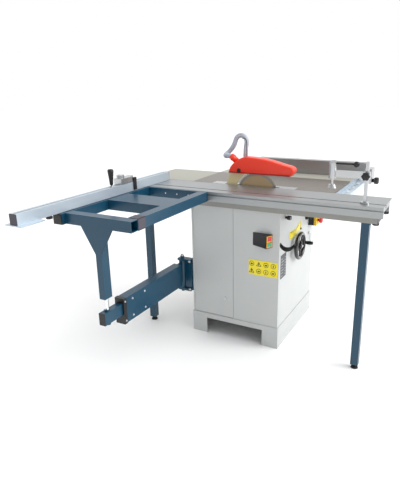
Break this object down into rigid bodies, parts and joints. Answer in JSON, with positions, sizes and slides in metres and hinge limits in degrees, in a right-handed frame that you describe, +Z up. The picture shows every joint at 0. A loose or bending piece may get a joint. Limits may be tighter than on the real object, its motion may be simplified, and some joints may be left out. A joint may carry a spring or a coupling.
{
  "type": "sliding table panel saw",
  "caption": "Cabinet panel saw with a sliding table, outrigger frame on a swing arm, crosscut and rip fences, hold-down clamp, and a guarded blade that tilts and rises.",
  "frame": {"origin": "floor level, under the centre of the cabinet's footprint", "axes": "+X to the operator's right, +Y to the rear along the sliding table, +Z up"},
  "size_m": [1.8095, 1.4635, 1.1319],
  "materials": {
    "cabinet_paint": "smooth light grey paint",
    "blue_paint": "dark petrol blue enamel",
    "cast_table": "ground cast iron",
    "cast_raw": "grey casting",
    "table_paint": "beige-grey paint",
    "anodised": "natural anodised extrusion",
    "fence_aluminium": "anodised extrusion",
    "steel": "machined steel",
    "blade_steel": "ground saw steel",
    "chromed": "bright plated",
    "guard_red": "glossy red moulding",
    "black_plastic": "black moulding",
    "yellow_plastic": "yellow emergency stop box",
    "green_button": "green push button",
    "red_button": "red push button",
    "hose_plastic": "translucent ribbed hose",
    "rubber_black": "black rubber",
    "motor_paint": "motor paint"
  },
  "bodies": {
    "cabinet": {"cabinet_shell": "cabinet_paint", "main_table": "cast_table", "table_insert": "steel", "side_table": "table_paint", "rear_table": "table_paint", "fence_rail": "anodised", "slide_beam": "anodised", "beam_legs": "blue_paint", "leg_feet": "rubber_black", "dust_outlet": "cabinet_paint", "switch_housing": "black_plastic", "emergency_housing": "yellow_plastic", "trunnion_brackets": "cast_raw", "arm_bracket": "blue_paint"},
    "carriage": {"sliding_table": "anodised", "outrigger_front_tube": "blue_paint", "outrigger_rear_tube": "blue_paint", "outrigger_side_tube": "blue_paint", "outrigger_crossbars": "blue_paint", "outrigger_leg": "blue_paint", "drop_pin": "chromed", "fence_pivot": "steel"},
    "rollers": {"carriage_rollers": "steel"},
    "fence": {"crosscut_fence": "fence_aluminium", "push_handle": "black_plastic"},
    "fence_knob": {"fence_lock_knob": "black_plastic"},
    "length_stop": {"stop_carrier": "steel"},
    "finger": {"flip_finger": "hose_plastic"},
    "swing_arm": {"swing_arm_outer": "blue_paint", "swing_arm_guide": "black_plastic"},
    "swing_inner": {"swing_arm_inner": "steel"},
    "clamp": {"clamp_post": "steel"},
    "clamp_head": {"clamp_arm": "steel"},
    "clamp_lever_body": {"clamp_lever": "black_plastic"},
    "clamp_plunger_body": {"clamp_plunger": "steel"},
    "clamp_knob_body": {"clamp_knob": "black_plastic"},
    "rip": {"rip_fence": "fence_aluminium", "rip_fence_head": "blue_paint"},
    "rip_knob": {"rip_fence_knob": "black_plastic"},
    "tilt": {"tilt_frame": "cast_raw"},
    "lift": {"lift_block": "cast_raw", "motor": "motor_paint", "drive_belt": "rubber_black", "riving_knife": "blade_steel"},
    "spindle": {"arbor": "steel", "saw_blade": "blade_steel"},
    "motor_shaft": {"motor_pulley": "motor_paint"},
    "guard": {"blade_guard": "guard_red", "suction_hose": "hose_plastic", "hose_cuff": "black_plastic", "hose_hanger": "chromed"},
    "wheel": {"handwheel": "black_plastic"},
    "wheel_grip": {"handwheel_grip": "black_plastic"},
    "screw": {"lift_screw": "steel"},
    "door": {"access_panel": "cabinet_paint"},
    "latch": {"panel_latch": "steel"},
    "start": {"start_button": "green_button"},
    "stop": {"stop_button": "red_button"},
    "emergency": {"emergency_button": "red_button"},
    "tilt_clamp": {"tilt_lock": "black_plastic"}
  },
  "joints": [
    {"name": "carriage_slide", "type": "slide", "parent": "cabinet", "child": "carriage", "axis": [0, 1, 0], "range_m": [-0.385, 0.385]},
    {"name": "roller_travel", "type": "slide", "parent": "cabinet", "child": "rollers", "axis": [0, 1, 0], "range_m": [-0.1925, 0.1925]},
    {"name": "fence_swing", "type": "hinge", "parent": "carriage", "child": "fence", "pos_m": [-0.1, 0.536, 0.86], "axis": [0, 0, 1], "range_deg": [-45, 15]},
    {"name": "fence_knob_turn", "type": "hinge", "parent": "fence", "child": "fence_knob", "pos_m": [-1.047, 0.536, 0.84], "axis": [0, 0, 1], "continuous": true},
    {"name": "stop_slide", "type": "slide", "parent": "fence", "child": "length_stop", "axis": [1, 0, 0], "range_m": [-0.03, 0.3]},
    {"name": "finger_flip", "type": "hinge", "parent": "length_stop", "child": "finger", "pos_m": [-0.449, 0.521, 0.9145], "axis": [-1, 0, 0], "range_deg": [0, 100]},
    {"name": "swing_turn", "type": "hinge", "parent": "cabinet", "child": "swing_arm", "pos_m": [-0.292, 0.328, 0.35], "axis": [0, 0, 1], "range_deg": [-29.8, 29.8]},
    {"name": "swing_reach", "type": "slide", "parent": "swing_arm", "child": "swing_inner", "axis": [-1, 0, 0], "range_m": [0, 0.15]},
    {"name": "clamp_travel", "type": "slide", "parent": "carriage", "child": "clamp", "axis": [0, 1, 0], "range_m": [-0.07, 0.9]},
    {"name": "clamp_height", "type": "slide", "parent": "clamp", "child": "clamp_head", "axis": [0, 0, 1], "range_m": [-0.055, 0.045]},
    {"name": "lever_turn", "type": "hinge", "parent": "clamp_head", "child": "clamp_lever_body", "pos_m": [-0.257, -0.503, 1.028], "axis": [-1, 0, 0], "range_deg": [0, 90]},
    {"name": "plunger_travel", "type": "slide", "parent": "clamp_head", "child": "clamp_plunger_body", "axis": [0, 0, 1], "range_m": [0, 0.015]},
    {"name": "clamp_knob_turn", "type": "hinge", "parent": "clamp_head", "child": "clamp_knob_body", "pos_m": [-0.285, -0.662, 0.98], "axis": [-1, 0, 0], "continuous": true},
    {"name": "rip_slide", "type": "slide", "parent": "cabinet", "child": "rip", "axis": [1, 0, 0], "range_m": [-0.405, 0.055]},
    {"name": "rip_knob_turn", "type": "hinge", "parent": "rip", "child": "rip_knob", "pos_m": [0.466, -0.59, 0.828], "axis": [0, -1, 0], "continuous": true},
    {"name": "blade_tilt", "type": "hinge", "parent": "cabinet", "child": "tilt", "pos_m": [-0.066, 0, 0.85], "axis": [0, 1, 0], "range_deg": [0, 42]},
    {"name": "blade_raise", "type": "slide", "parent": "tilt", "child": "lift", "axis": [0, 0, 1], "range_m": [-0.066, 0]},
    {"name": "arbor_spin", "type": "hinge", "parent": "lift", "child": "spindle", "pos_m": [-0.066, -0.04, 0.8], "axis": [1, 0, 0], "continuous": true},
    {"name": "motor_spin", "type": "hinge", "parent": "lift", "child": "motor_shaft", "pos_m": [0.04, -0.04, 0.634], "axis": [1, 0, 0], "continuous": true},
    {"name": "guard_lift", "type": "hinge", "parent": "lift", "child": "guard", "pos_m": [-0.066, 0.06, 0.934], "axis": [-1, 0, 0], "range_deg": [0, 12]},
    {"name": "wheel_turn", "type": "hinge", "parent": "tilt", "child": "wheel", "pos_m": [-0.03, -0.284, 0.524], "axis": [0, -1, 0], "range_deg": [-2970, 0]},
    {"name": "grip_spin", "type": "hinge", "parent": "wheel", "child": "wheel_grip", "pos_m": [0.039, -0.32, 0.524], "axis": [0, -1, 0], "continuous": true},
    {"name": "screw_turn", "type": "hinge", "parent": "tilt", "child": "screw", "pos_m": [-0.004, 0.03, 0.65], "axis": [0, 0, 1], "range_deg": [-2970, 0]},
    {"name": "door_swing", "type": "hinge", "parent": "cabinet", "child": "door", "pos_m": [-0.2905, 0.253, 0.445], "axis": [0, 0, -1], "range_deg": [0, 90]},
    {"name": "latch_turn", "type": "hinge", "parent": "door", "child": "latch", "pos_m": [-0.288, 0.054, 0.238], "axis": [-1, 0, 0], "range_deg": [0, 90]},
    {"name": "start_press", "type": "slide", "parent": "cabinet", "child": "start", "axis": [0.4472, 0.8944, 0], "range_m": [0, 0.004], "stiffness_N_per_m": 500, "springref_m": -0.002},
    {"name": "stop_press", "type": "slide", "parent": "cabinet", "child": "stop", "axis": [0.4472, 0.8944, 0], "range_m": [0, 0.004], "stiffness_N_per_m": 500, "springref_m": -0.002},
    {"name": "emergency_press", "type": "slide", "parent": "cabinet", "child": "emergency", "axis": [0, 1, 0], "range_m": [0, 0.0019], "stiffness_N_per_m": 900, "springref_m": -0.002},
    {"name": "tilt_lock_turn", "type": "hinge", "parent": "cabinet", "child": "tilt_clamp", "pos_m": [-0.205, -0.27, 0.726], "axis": [0, -1, 0], "range_deg": [0, 90]}
  ],
  "couplings": [
    {"joint": "roller_travel", "follows": "carriage_slide", "ratio": 0.5},
    {"joint": "swing_turn", "follows": "carriage_slide", "rad_per_m": -1.349},
    {"joint": "plunger_travel", "follows": "lever_turn", "m_per_rad": 0.0095},
    {"joint": "motor_spin", "follows": "arbor_spin", "ratio": 0.75},
    {"joint": "wheel_turn", "follows": "blade_raise", "rad_per_m": 785.4},
    {"joint": "screw_turn", "follows": "blade_raise", "rad_per_m": 785.4}
  ]
}
